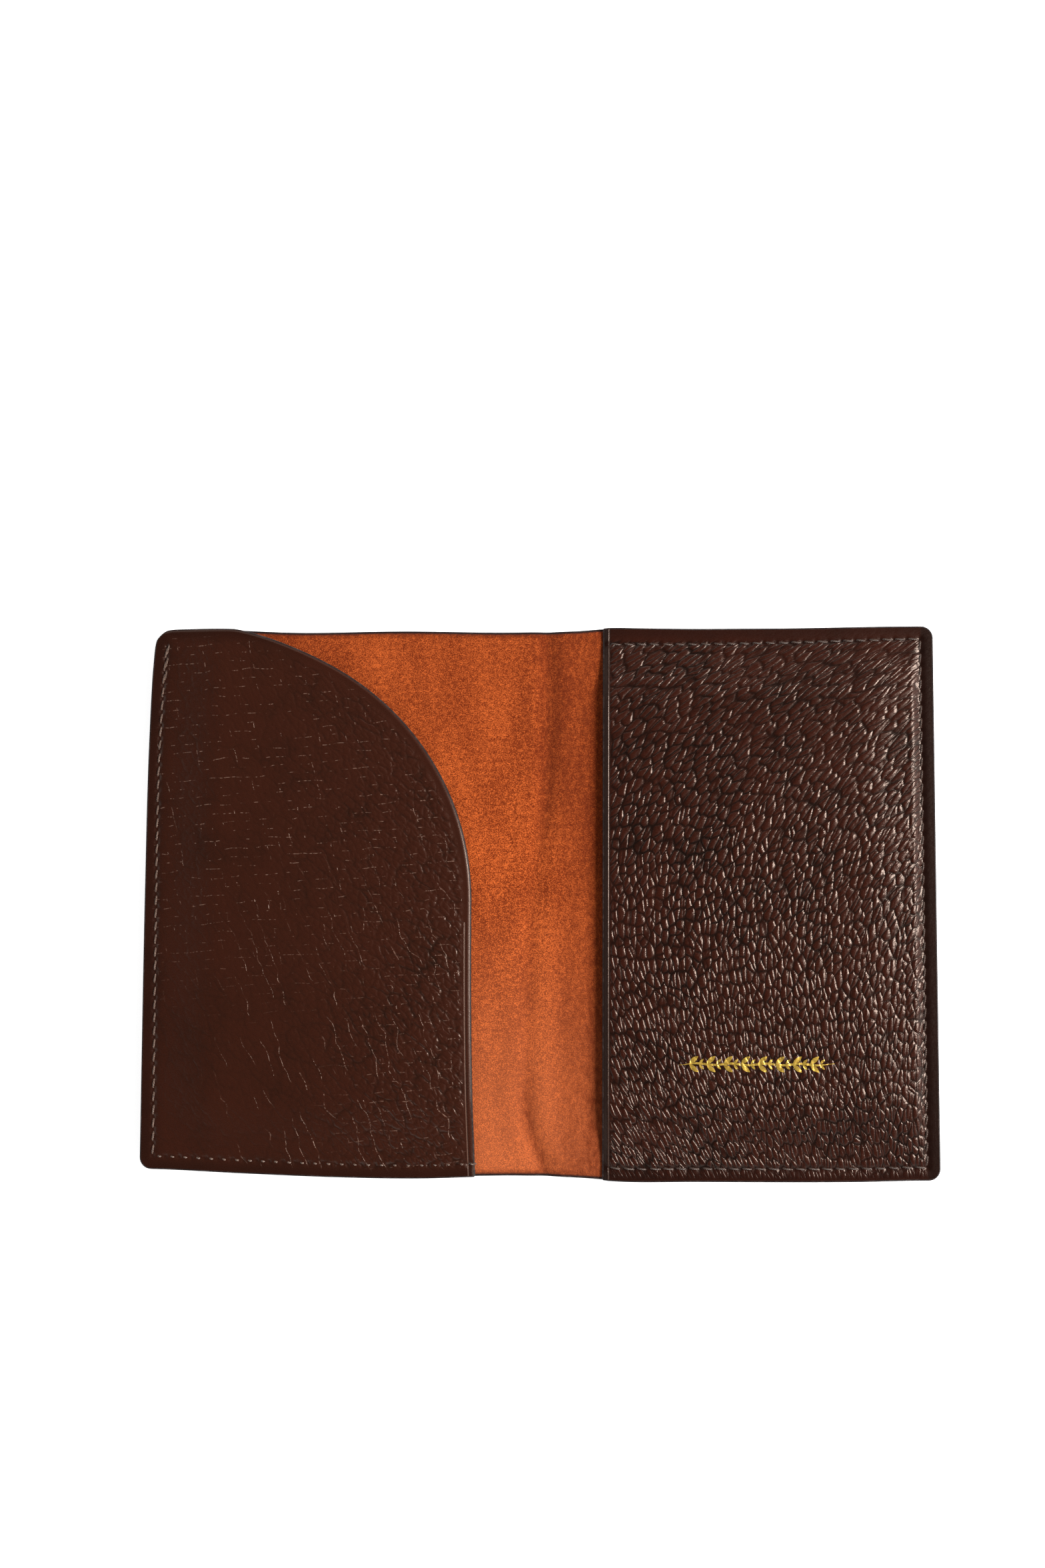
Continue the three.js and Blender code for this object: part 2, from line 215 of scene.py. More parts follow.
def slab_faces(rows, columns):
    """Faces of a slab: a fine grid, a coarse grid on the other side and walls between them.

    Returns the polygons, and the (row, column) of each vertex of the fine grid and then of the other side.
    """
    fine = np.arange(rows * columns).reshape(rows, columns)
    on_other = np.zeros((rows, columns), bool)
    on_other[[0, -1], :] = True
    on_other[:, [0, -1]] = True
    on_other[COARSE : rows - COARSE : COARSE, COARSE : columns - COARSE : COARSE] = True
    kept = np.argwhere(on_other)
    other = np.full((rows, columns), -1)
    other[on_other] = rows * columns + np.arange(len(kept))
    polygons = [quads(fine), quads(other[COARSE:-COARSE:COARSE, COARSE:-COARSE:COARSE])[:, ::-1]]
    # Along each side in turn, strips join the rim's fine spacing to the coarse grid.
    strips, corners = [], []
    for turn in range(4):
        turned = np.rot90(other, turn)
        for start in range(COARSE, turned.shape[1] - 1 - COARSE, COARSE):
            end = start + COARSE
            strips.append([*turned[0, start : end + 1][::-1], turned[COARSE, start], turned[COARSE, end]])
        corners.append([*turned[0, COARSE:0:-1], *turned[: COARSE + 1, 0], turned[COARSE, COARSE]])
    polygons += [np.array(strips), np.array(corners)]
    loop = rim_loop(rows, columns)
    top = fine[loop[:, 0], loop[:, 1]]
    low = other[loop[:, 0], loop[:, 1]]
    polygons.append(np.stack([top, low, np.roll(low, -1), np.roll(top, -1)], -1))
    places = np.concatenate([np.argwhere(fine >= 0), kept])
    return polygons, places


def rim_loop(rows, columns):
    """(row, column) of the grid's outer vertices, anticlockwise seen from above."""
    foot = [(0, c) for c in range(columns - 1)]
    right = [(r, columns - 1) for r in range(rows - 1)]
    head = [(rows - 1, c) for c in range(columns - 1, 0, -1)]
    left = [(r, 0) for r in range(rows - 1, 0, -1)]
    return np.array(foot + right + head + left)


def rim_places(grid):
    """The places on a grid's rim, in the order of rim_loop."""
    loop = rim_loop(*grid.shape[:2])
    return grid[loop[:, 0], loop[:, 1]]


def slab(name, grid, top, bottom, fine_below=False, **attributes):
    """A closed sheet over a grid of places. top and bottom give its heights from x and y, and each
    attribute is a function of x and y for the fine side, which is 0 on the other side."""
    rows, columns = grid.shape[:2]
    polygons, places = slab_faces(rows, columns)
    xy = grid[places[:, 0], places[:, 1]]
    x, y = xy.T
    fine_side = np.arange(len(places)) < rows * columns
    upper = ~fine_side if fine_below else fine_side
    points = np.stack([x, y, np.where(upper, top(x, y), bottom(x, y))], 1)
    if fine_below:
        polygons = [group[:, ::-1] for group in polygons]
    values = {key: np.where(fine_side, rule(x, y), 0) for key, rule in attributes.items()}
    return make_object(name, points, polygons, **values)


def whole_cells(length, spacing):
    """A count of grid points with about that spacing, one more than a multiple of COARSE."""
    return COARSE * max(3, round(length / spacing / COARSE)) + 1


def rows_of(spacing):
    """Y places from foot to head, closer together where the corners are round."""
    turn = np.linspace(0, np.pi / 2, 9)[:-1]
    corner = CORNER_RADIUS * (1 - np.cos(turn))
    middle = LEATHER_Y - CORNER_RADIUS
    count = whole_cells(2 * middle, spacing)
    straight = np.linspace(-middle, middle, count)
    return np.concatenate([-LEATHER_Y + corner, straight, LEATHER_Y - corner[::-1]])


def from_ends(y):
    """How far inside the leather's head or foot a place is."""
    return LEATHER_Y - np.abs(y)


def from_rim(x, y):
    return np.minimum(LEATHER_X - np.abs(x), from_ends(y))


def side_x(y):
    """Half the leather's length at a height, less at the round corners."""
    past = np.clip(np.abs(y) - (LEATHER_Y - CORNER_RADIUS), 0, CORNER_RADIUS)
    return LEATHER_X - CORNER_RADIUS + np.sqrt(CORNER_RADIUS**2 - past**2)


def grid_between(left, right, y, shares):
    """Places on rows at the heights y, from left(y) to right(y), at the given shares of each row."""
    x = left[:, None] + (right - left)[:, None] * shares[None, :]
    return np.stack([x, np.broadcast_to(y[:, None], x.shape)], -1)


def apply_relief(piece, height):
    """Raises the piece along Z by its attribute "relief" times a height field made of nodes."""
    tree = bpy.data.node_groups.new(piece.name + "_relief", "GeometryNodeTree")
    tree.interface.new_socket("Geometry", in_out="INPUT", socket_type="NodeSocketGeometry")
    tree.interface.new_socket("Geometry", in_out="OUTPUT", socket_type="NodeSocketGeometry")
    graph = Graph(tree)
    source, sink = tree.nodes.new("NodeGroupInput"), tree.nodes.new("NodeGroupOutput")
    place = graph.rest_place()
    rise = graph.times(graph.named("relief"), height(graph, place))
    shift = graph.combine(0.0, 0.0, graph.times(rise, MM))
    move = tree.nodes.new("GeometryNodeSetPosition")
    tree.links.new(source.outputs[0], move.inputs["Geometry"])
    tree.links.new(shift, move.inputs["Offset"])
    tree.links.new(move.outputs[0], sink.inputs[0])
    modifier = piece.modifiers.new("relief", "NODES")
    modifier.node_group = tree
    depsgraph = bpy.context.evaluated_depsgraph_get()
    raised = bpy.data.meshes.new_from_object(
        piece.evaluated_get(depsgraph), preserve_all_data_layers=True, depsgraph=depsgraph)
    piece.modifiers.clear()
    piece.data = raised
    raised.name = piece.name


# ---- Node trees ----


class Graph:
    """Short calls that add nodes to a shader or geometry tree and return their output sockets."""

    def __init__(self, tree):
        self.tree = tree

    def add(self, kind, inputs=(), output=0, **settings):
        node = self.tree.nodes.new(kind)
        for key, value in settings.items():
            setattr(node, key, value)
        for key, value in dict(inputs).items():
            self.feed(node.inputs[key], value)
        return node.outputs[output]

    def feed(self, socket, value):
        if isinstance(value, bpy.types.NodeSocket):
            self.tree.links.new(value, socket)
        else:
            socket.default_value = value

    def rest_place(self):
        return self.named("rest_mm", "FLOAT_VECTOR")

    def named(self, name, kind="FLOAT"):
        """A mesh attribute, read the way that the tree's own kind reads it."""
        if self.tree.type == "GEOMETRY":
            return self.add("GeometryNodeInputNamedAttribute", {"Name": name}, data_type=kind)
        output = "Vector" if kind == "FLOAT_VECTOR" else "Fac"
        return self.add("ShaderNodeAttribute", output=output, attribute_name=name)

    def math(self, operation, a, b=0.0, c=0.0):
        return self.add("ShaderNodeMath", {0: a, 1: b, 2: c}, operation=operation)

    def minus(self, a, b):
        return self.math("SUBTRACT", a, b)

    def times(self, a, b):
        return self.math("MULTIPLY", a, b)

    def times_plus(self, a, b, c):
        """a times b, plus c."""
        return self.math("MULTIPLY_ADD", a, b, c)

    def vector(self, operation, a, b):
        return self.add("ShaderNodeVectorMath", {0: a, 1: b}, operation=operation)

    def combine(self, x, y, z):
        return self.add("ShaderNodeCombineXYZ", {0: x, 1: y, 2: z})

    def separate(self, vector):
        node = self.tree.nodes.new("ShaderNodeSeparateXYZ")
        self.feed(node.inputs[0], vector)
        return node.outputs

    def noise(self, place, scale, detail=2.0, roughness=0.5, output=0):
        inputs = {"Vector": place, "Scale": scale, "Detail": detail, "Roughness": roughness}
        return self.add("ShaderNodeTexNoise", inputs, output)

    def cells(self, place, feature):
        inputs = {"Vector": place, "Scale": 1.0}
        settings = {"voronoi_dimensions": "2D", "feature": feature}
        return self.add("ShaderNodeTexVoronoi", inputs, "Distance", **settings)

    def remap(self, value, low, high, to_low=0.0, to_high=1.0):
        """to_low where the value is low, to_high where it is high, and smooth between them."""
        inputs = {"Value": value, "From Min": low, "From Max": high, "To Min": to_low, "To Max": to_high}
        return self.add("ShaderNodeMapRange", inputs, interpolation_type="SMOOTHSTEP")

    def blend_colour(self, share, a, b):
        node = self.tree.nodes.new("ShaderNodeMix")
        node.data_type = "RGBA"
        self.feed(node.inputs["Factor"], share)
        self.feed(node.inputs[6], a)
        self.feed(node.inputs[7], b)
        return node.outputs[2]


def warped(graph, place, scale, amount):
    """The place, pushed about by noise of that scale."""
    push = graph.vector("SUBTRACT", graph.noise(place, scale, output=1), (0.5, 0.5, 0.5))
    return graph.vector("ADD", place, graph.vector("MULTIPLY", push, (amount,) * 3))


# The grain leans one way near the head and the other way near the foot, as hide does over a belly.
LEAN_RATE = 0.0125
LEAN_TURN_Y = -15.0
FAN_X = 45.0  # it also fans out towards the head, from this place along X
FAN_RATE = 0.005
GRAIN_TURN = np.radians(-48)  # how far the smoother leather's grain is turned


def lean_place(graph, place, cell, stretch):
    """Flat coordinates in cells of that width and length, which lean with the hide."""
    x, y, _ = graph.separate(place)
    from_turn = graph.minus(y, LEAN_TURN_Y)
    lean = graph.times(graph.times(from_turn, from_turn), LEAN_RATE / 2)
    widening = graph.times_plus(y, FAN_RATE, 1.0)
    fanned = graph.math("DIVIDE", graph.minus(x, FAN_X), widening)
    across = graph.math("DIVIDE", graph.minus(fanned, lean), cell)
    return graph.combine(across, graph.math("DIVIDE", y, cell * stretch), 0.0)


def pebbles(graph, place, cell, stretch):
    """Domes of the grain: 1 on their tops, round towards their sides and 0 in the valleys between them."""
    flat = lean_place(graph, place, cell, stretch)
    sides = graph.remap(graph.cells(flat, "DISTANCE_TO_EDGE"), 0.0, 0.21)
    middle = graph.cells(flat, "F1")
    dome = graph.times_plus(graph.times(middle, middle), -0.9, 1.0)
    return graph.times(sides, dome)


def pebbled_height(graph, place):
    """Relief of the strongly grained leather, about 0 to 1."""
    bent = warped(graph, place, 0.3, 0.7)
    large = pebbles(graph, bent, cell=1.6, stretch=1.85)
    elsewhere = graph.vector("ADD", bent, (31.0, 17.0, 0.0))
    small = pebbles(graph, elsewhere, cell=0.9, stretch=1.5)
    rows = graph.cells(lean_place(graph, bent, cell=4.2, stretch=3.2), "DISTANCE_TO_EDGE")
    height = graph.times_plus(small, 0.15, graph.times(large, 0.8))
    return graph.times(height, graph.remap(rows, 0.0, 0.11, 0.55, 1.1))


def smooth_height(graph, place):
    """Relief of the smoother leather: low fine grain drawn out down the hide, away from the side."""
    bent = warped(graph, place, 0.25, 1.8)
    inputs = {"Vector": bent, "Angle": GRAIN_TURN}
    turned = graph.add("ShaderNodeVectorRotate", inputs, rotation_type="Z_AXIS")
    grains = []
    for cell, stretch, valley in ((1.35, 1.6, 0.3), (3.2, 2.5, 0.16)):
        flat = graph.vector("MULTIPLY", turned, (1 / cell, 1 / (cell * stretch), 0.0))
        grains.append(graph.remap(graph.cells(flat, "DISTANCE_TO_EDGE"), 0.0, valley))
    height = graph.times_plus(grains[0], 0.45, graph.times(grains[1], 0.5))
    return graph.times_plus(graph.noise(place, 0.09), 0.3, height)


def napped_height(graph, place):
    """Relief of suede: low soft hills with a short nap."""
    hills = graph.noise(place, 0.18)
    nap = graph.noise(place, 0.7)
    return graph.times_plus(nap, 0.2, hills)


# ---- Materials ----


def srgb(red, green, blue):
    """A linear colour from screen values of 0 to 255."""
    values = np.array([red, green, blue]) / 255
    linear = np.where(values <= 0.04045, values / 12.92, ((values + 0.055) / 1.055) ** 2.4)
    return (*[float(v) for v in linear], 1.0)


def new_material(name, **constants):
    """A material, its graph and its shader, with constants set on the shader's own sockets."""
    material = bpy.data.materials.new(name)
    material.use_nodes = True
    tree = material.node_tree
    shader = tree.nodes["Principled BSDF"]
    for key, value in constants.items():
        shader.inputs[key.replace("_", " ")].default_value = value
    return material, Graph(tree), shader


def dress(graph, shader, colour, height_mm, roughness=None):
    """Feeds the shader its colour, a normal from a height in millimetres and, if given, a roughness."""
    graph.feed(shader.inputs["Base Color"], colour)
    inputs = {"Strength": 1.0, "Distance": MM, "Height": height_mm}
    graph.feed(shader.inputs["Normal"], graph.add("ShaderNodeBump", inputs))
    if roughness is not None:
        graph.feed(shader.inputs["Roughness"], roughness)


PRESSED_INSET = 1.3  # a line is pressed in along each free edge


def leather(name, height, relief_gain, dark, light):
    """Aniline leather: grain in the bump, valleys coloured darker as painted shade, pores, fine creases and
    the pressed line coloured pale as a painted highlight, and painted shade at the seams.
    """
    material, graph, shader = new_material(name, Specular_IOR_Level=0.45, Specular_Tint=srgb(255, 230, 214))
    place = graph.rest_place()
    grain = height(graph, place)
    relief = graph.math("ABSOLUTE", graph.named("relief"))
    # The grain's valleys are coloured darker: painted shade.
    low = graph.times(graph.minus(0.75, grain), relief)
    mottle = graph.noise(place, 0.11, 3.0)
    pores = graph.noise(place, 2.6, 2.0, 0.6)
    tone = graph.times_plus(low, -2.6, graph.times_plus(mottle, 0.5, 0.3))
    colour = graph.blend_colour(graph.remap(tone, 0.1, 0.65), dark, light)
    pressed = pressed_line(graph)
    # The creases and the pressed line are coloured pale: a painted highlight where their walls would catch
    # the light.
    creases = graph.math("MAXIMUM", dashes(graph, place), streaks(graph, place))
    worn = graph.math("MAXIMUM", creases, graph.times(pressed, 0.7))
    colour = graph.blend_colour(graph.times(worn, 0.64), colour, srgb(160, 122, 104))
    # Painted shade in the seams' grooves and holes and beside the back pocket's free edge, and darker sewn
    # margins.
    shade_at_seams_and_margins = graph.named("stitched")
    colour = graph.blend_colour(graph.times(shade_at_seams_and_margins, 0.8), colour, srgb(12, 7, 6))
    grain_mm = graph.times(relief, grain)
    wrinkles = graph.noise(lean_place(graph, place, cell=0.75, stretch=3.2), 1.0, 3.0, 0.6)
    fine_mm = graph.times_plus(pores, 0.014, graph.times(creases, -0.08))
    fine_mm = graph.times_plus(graph.times(wrinkles, relief), 0.15, fine_mm)
    fine_mm = graph.times_plus(pressed, -0.16, fine_mm)
    height_mm = graph.times_plus(grain_mm, relief_gain, fine_mm)
    dress(graph, shader, colour, height_mm, graph.times_plus(pores, 0.16, 0.2))
    return material


def pressed_line(graph):
    """1 on the line pressed in beside a free edge, whose distance is in "inset"."""
    inset = graph.named("inset")
    off = graph.math("ABSOLUTE", graph.minus(inset, PRESSED_INSET))
    return graph.remap(off, 0.0, 0.22, 1.0, 0.0)


LINE_SHIFT = 13.73  # takes each line's gaps out of step with the next line's
BEAD_SCALE = 1.7


def lines_with_gaps(graph, across, along, spacing, width, gap_scale, gaps_from, gaps_to):
    """Thin lines, spacing apart, each broken up in its own way: 1 on a line and 0 off it."""
    row = graph.math("DIVIDE", across, spacing)
    number = graph.math("FLOOR", row)
    off = graph.math("ABSOLUTE", graph.minus(graph.minus(row, number), 0.5))
    line = graph.remap(off, 0.0, width / spacing, 1.0, 0.0)
    shift = graph.times(number, LINE_SHIFT)
    gaps = graph.combine(graph.times_plus(along, gap_scale, shift), graph.times(number, 7.31), 0.0)
    gaps = graph.remap(graph.noise(gaps, 1.0), gaps_from, gaps_to)
    beads = graph.combine(graph.times_plus(along, BEAD_SCALE, shift), graph.times(number, 3.7), 0.0)
    beads = graph.remap(graph.noise(beads, 1.0, 1.0), 0.4, 0.62, 0.05, 1.0)
    return graph.times(graph.times(line, beads), gaps)


def dashes(graph, place):
    """Short creases across the hide, where "crackle" says."""
    x, y, _ = graph.separate(warped(graph, place, 0.16, 1.7))
    tilt = graph.times_plus(x, -0.07, y)
    across = lines_with_gaps(
        graph, tilt, x, spacing=2.3, width=0.13, gap_scale=0.42, gaps_from=0.53, gaps_to=0.58)
    steep = graph.times_plus(y, 0.25, x)
    down = lines_with_gaps(
        graph, steep, y, spacing=3.3, width=0.12, gap_scale=0.4, gaps_from=0.59, gaps_to=0.64)
    return graph.times(graph.math("MAXIMUM", across, down), graph.named("crackle"))


def streaks(graph, place):
    """Long creases that run down the hide and away from the side, where "streak" says."""
    x, y, _ = graph.separate(warped(graph, place, 0.1, 7.0))
    slanted = graph.times_plus(y, 0.42, x)
    lines = lines_with_gaps(
        graph, slanted, y, spacing=3.9, width=0.12, gap_scale=0.09, gaps_from=0.49, gaps_to=0.55)
    return graph.times(lines, graph.named("streak"))


def suede():
    material, graph, shader = new_material(
        "suede", Roughness=0.95, Specular_IOR_Level=0.12, Sheen_Weight=0.12, Sheen_Roughness=0.45,
        Sheen_Tint=srgb(255, 190, 140))
    place = graph.rest_place()
    speckle = graph.noise(place, 3.4, 2.0, 0.6)
    patches = graph.noise(place, 0.9, 3.0, 0.65)
    brushed = graph.noise(graph.vector("MULTIPLY", place, (1.0, 0.5, 1.0)), 0.11, 3.0)
    tone = graph.times_plus(speckle, 0.75, graph.times(brushed, 0.22))
    tone = graph.times_plus(patches, 0.34, tone)
    colour = graph.blend_colour(graph.remap(tone, 0.53, 0.88), srgb(124, 46, 15), srgb(243, 118, 53))
    paler = graph.times(graph.named("paler"), 0.36)
    colour = graph.blend_colour(paler, colour, srgb(224, 128, 82))
    # The "crease" mask darkens the colour, mostly as painted shade of the crease and of the back pocket's
    # shadow, broken up by the nap.
    tufts = graph.noise(graph.vector("MULTIPLY", place, (1.0, 0.45, 1.0)), 1.1, 3.0, 0.6)
    broken = graph.remap(tufts, 0.35, 0.62)
    tufted = graph.times_plus(broken, -0.28, 0.78)
    shade = graph.times(graph.named("crease"), tufted)
    colour = graph.blend_colour(shade, colour, srgb(104, 38, 14))
    colour = graph.blend_colour(graph.named("dyed"), colour, srgb(48, 28, 26))
    dress(graph, shader, colour, graph.times_plus(speckle, 0.16, graph.times(patches, 0.12)))
    return material


def waxed_thread():
    material, graph, shader = new_material(
        "waxed_thread", Roughness=0.35, Specular_IOR_Level=0.5, Sheen_Weight=0.2, Sheen_Roughness=0.4)
    place = graph.rest_place()
    fibre = graph.noise(place, 5.0, 3.0, 0.6)
    colour = graph.blend_colour(graph.remap(fibre, 0.35, 0.7), srgb(66, 50, 42), srgb(146, 118, 102))
    # The back seam's thread is the same thread, coloured darker as painted shade.
    back_half = graph.remap(graph.separate(place)[0], -5.0, 5.0, 0.0, 0.6)  # where the thread is darker
    colour = graph.blend_colour(back_half, colour, srgb(44, 30, 26))
    dress(graph, shader, colour, graph.times(fibre, 0.03))
    return material


def edge_paint():
    material, graph, shader = new_material("edge_paint", Specular_IOR_Level=0.3)
    place = graph.rest_place()
    wear = graph.noise(place, 0.8, 4.0, 0.6)
    colour = graph.blend_colour(graph.remap(wear, 0.45, 0.7), srgb(34, 25, 24), srgb(66, 54, 52))
    worn = graph.remap(wear, 0.3, 0.7, 0.38, 0.55)
    duller = graph.remap(graph.separate(place)[1], 0.0, 40.0, 0.0, 0.3)
    dress(graph, shader, colour, graph.times(wear, 0.05), graph.math("ADD", worn, duller))
    return material


def gold_foil():
    material, graph, shader = new_material("gold_foil", Metallic=0.6, Specular_IOR_Level=0.6)
    place = graph.rest_place()
    fleck = graph.noise(place, 3.0, 3.0, 0.6)
    colour = graph.blend_colour(graph.remap(fleck, 0.3, 0.65), srgb(186, 140, 48), srgb(246, 208, 96))
    dress(graph, shader, colour, graph.times(fleck, 0.02), graph.remap(fleck, 0.3, 0.7, 0.42, 0.26))
    return material


def board():
    material, graph, shader = new_material("stiffener_board", Specular_IOR_Level=0.2)
    place = graph.vector("MULTIPLY", graph.add("ShaderNodeTexCoord", output="Object"), (1000, 1000, 1000))
    fibre = graph.noise(place, 1.2, 4.0, 0.7)
    colour = graph.blend_colour(fibre, srgb(120, 104, 82), srgb(172, 156, 130))
    dress(graph, shader, colour, graph.times(fibre, 0.04), graph.remap(fibre, 0.3, 0.7, 0.8, 0.95))
    return material


PEBBLED = leather("pebbled_leather", pebbled_height, 0.65, srgb(20, 9, 6), srgb(54, 22, 13))
SMOOTH = leather("smooth_leather", smooth_height, 0.8, srgb(35, 18, 11), srgb(57, 26, 16))
SUEDE = suede()
THREAD = waxed_thread()
PAINT = edge_paint()
FOIL = gold_foil()
BOARD = board()


def half_of(side):
    return "front" if side < 0 else "back"


def finish_piece(piece, material, nodes, body=None):
    """Gives a piece its material, hides the frame's nodes that it stands for and attaches it to the body
    that it rides on, if one.
    """
    piece.data.materials.clear()
    piece.data.materials.append(material)
    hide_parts(*nodes)
    if body:
        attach(piece, body)


def declare_sheet(grid):
    """Works out the outline of the grid's rim in metres; nothing uses it."""
    outline = rim_places(grid) * MM


def bend_at_spine(piece, side):
    """Bakes the piece's transform into its mesh."""
    half = half_of(side) + "_half"
    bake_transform(piece)


# ---- Seams ----

# The sewn lines wander a little from the straight lines of the thread's own solids.
FRONT_SEAM = [
    (-SIDE_SEAM_X - 0.1, HEAD_SEAM_Y),
    (-SIDE_SEAM_X - 0.5, 30),
    (-SIDE_SEAM_X + 0.1, FOOT_SEAM_Y),
    (FRONT_SEAM_END, FOOT_SEAM_Y),
]
BACK_SEAM = [
    (BACK_SEAM_START, FOOT_SEAM_Y),
    (SIDE_SEAM_X, FOOT_SEAM_Y),
    (SIDE_SEAM_X, HEAD_SEAM_Y + 1.2),
    (BACK_SEAM_START, HEAD_SEAM_Y + 0.2),
]


def stitch_holes(corners):
    """The holes of a seam, evenly spaced along each straight run and shared at its corners."""
    holes = [np.array(corners[0], float)]
    for start, end in zip(corners, corners[1:]):
        start, end = np.array(start, float), np.array(end, float)
        count = round(np.linalg.norm(end - start) / STITCH)
        holes += [start + (end - start) * k / count for k in range(1, count + 1)]
    return np.array(holes)


FRONT_HOLES = stitch_holes(FRONT_SEAM)
BACK_HOLES = stitch_holes(BACK_SEAM)


def nearest_hole(points, holes):
    best = np.full(len(points), 1e9)
    for hole in holes:
        best = np.minimum(best, ((points - hole) ** 2).sum(1))
    return np.sqrt(best)


# Each is the strength and width of a seam's groove, and then of its holes: how deep they sink, and how dark
# they are coloured as painted shade.
DEPTH_MARK = (0.22, 0.75, 0.4, 0.45)
SEAM_SHADE_MARK = (0.35, 0.7, 0.65, 0.4)


def seam_mark(holes, groove, groove_width, hole, hole_width):
    """A function of x and y for how deep a seam pulls the leather in, or how much painted shade it gets
    there.
    """

    def mark(x, y):
        points = np.stack([x, y], 1)
        along = groove * bump(distance_to_path(points, holes), 0, groove_width)
        return along + hole * bump(nearest_hole(points, holes), 0, hole_width)

    return mark


front_depth, front_seam_shade = (seam_mark(FRONT_HOLES, *mark) for mark in (DEPTH_MARK, SEAM_SHADE_MARK))
back_depth, back_seam_shade = (seam_mark(BACK_HOLES, *mark) for mark in (DEPTH_MARK, SEAM_SHADE_MARK))


def darker_margins(x, y):
    """Darker on the leather's sewn margins, and near its head and foot."""
    to_side = LEATHER_X - np.abs(x)
    front = 0.5 * (1 - smooth(to_side, 1.0, 6.5))
    back = 0.9 * (1 - smooth(to_side, 2.3, 3.6))
    ends = 0.45 * (1 - smooth(from_ends(y), 0.6, 4.0))
    return np.maximum(np.where(x < 0, front, back), ends)


def front_seam_shade_and_margins(x, y):
    return np.maximum(0.4 * front_seam_shade(x, y), darker_margins(x, y))


def back_seam_shade_and_margins(x, y):
    # Painted shade on the strip between the back pocket's free edge and its pressed line, where the edge
    # turns down away from the light.
    shaded_free_edge_strip = 0.8 * (1 - smooth(x - BACK_FREE_X, 1.1, 2.0))
    return np.maximum(back_seam_shade(x, y), np.maximum(shaded_free_edge_strip, darker_margins(x, y)))


THREAD_RADIUS = 0.26
FULL_STITCH = 0.55  # how pinched a stitch is: more for one that shows only its middle
PULLED_STITCH = 5.0
STRANDS = 3
STRAND_OFFSET, STRAND_RADIUS = 0.5, 0.52  # as shares of the thread's radius
STRAND_SIDES = 6
STITCH_STEPS = 14
TWIST = 2.2  # turns in one stitch
SLANT = 0.16  # a stitch runs from one side of the seam line to the other
STITCH_DIP = 0.55  # its ends go this far down their holes
BOBBIN_SINK = 0.12


def stitches(name, runs, surface, face, sink=0.0):
    """Twisted stitches over a surface, one from each hole of a run to the next. Each run is its holes and
    how pinched its stitches are, as in FULL_STITCH. face is 1 on top and -1 below."""
    start = np.concatenate([holes[:-1] for holes, _ in runs])
    end = np.concatenate([holes[1:] for holes, _ in runs])
    pinch = np.concatenate([np.full(len(holes) - 1, power) for holes, power in runs])
    across = -right_of(end - start)
    t = np.linspace(0.03, 0.97, STITCH_STEPS)
    arch = np.sin(np.pi * t)[None, :] ** pinch[:, None]
    centre = start[:, None] + (end - start)[:, None] * t[None, :, None]
    centre = centre + across[:, None] * (SLANT * np.cos(np.pi * t))[None, :, None]
    base = surface(centre[..., 0].ravel(), centre[..., 1].ravel()).reshape(centre.shape[:2])
    height = base + face * ((STITCH_DIP + 0.62 * THREAD_RADIUS) * arch - STITCH_DIP - sink)
    rng = np.random.default_rng(7)
    phase = rng.uniform(0, 2 * np.pi, len(start))
    points, polygons = [], []
    taper = np.minimum(1, 0.55 + 3 * np.minimum(t, 1 - t))
    offset = THREAD_RADIUS * STRAND_OFFSET * taper
    radius = THREAD_RADIUS * STRAND_RADIUS * taper[:, None]
    ring = np.linspace(0, 2 * np.pi, STRAND_SIDES, endpoint=False)
    for strand in range(STRANDS):
        turn = phase[:, None] + 2 * np.pi * (TWIST * t[None, :] + strand / STRANDS)
        sx = (offset * np.cos(turn))[..., None] + radius * np.cos(ring)
        sz = (offset * np.sin(turn))[..., None] + radius * np.sin(ring)
        xy = centre[:, :, None, :] + across[:, None, None, :] * sx[..., None]
        z = height[..., None] + 0.85 * sz
        block = np.concatenate([xy, z[..., None]], -1)
        first = sum(len(p) for p in points)
        points.append(block.reshape(-1, 3))
        index = first + np.arange(block[..., 0].size).reshape(block.shape[:3])
        after = np.roll(index, -1, axis=2)
        walls = np.stack([index[:, :-1], after[:, :-1], after[:, 1:], index[:, 1:]], -1)
        polygons.append(walls.reshape(-1, 4))
        polygons.append(index[:, 0, ::-1])
        polygons.append(index[:, -1])
    return make_object(name, np.concatenate(points), polygons)


# ---- Pocket panels ----

SEWN_MARGIN = 3.3
SHOULDER = 16.0  # a pocket rises over this width beside its seams
FULL_SHOULDER = 14.0  # and over this one beside the back pocket's side seam, where it is fullest
STEEP_RISE = 2.2
FULLNESS = 0.6


def sewn_swell(*distances):
    """0 on the sewn margins and 1 well inside them."""
    return np.prod([smooth(distance - SEWN_MARGIN, 0, SHOULDER) for distance in distances], axis=0)


def full_swell(distance):
    """The same beside the fullest seam, with part of the rise close to the seam."""
    past = distance - SEWN_MARGIN
    return FULLNESS * smooth(past, 0, STEEP_RISE) + (1 - FULLNESS) * smooth(past, 0, FULL_SHOULDER)


def edge_round(distance, drop, width):
    """Height lost beside a free edge."""
    return drop * (1 - smooth(distance, -0.1, width))


PANEL_PULL = 0.8  # a panel is pulled in by this share of a seam's full depth


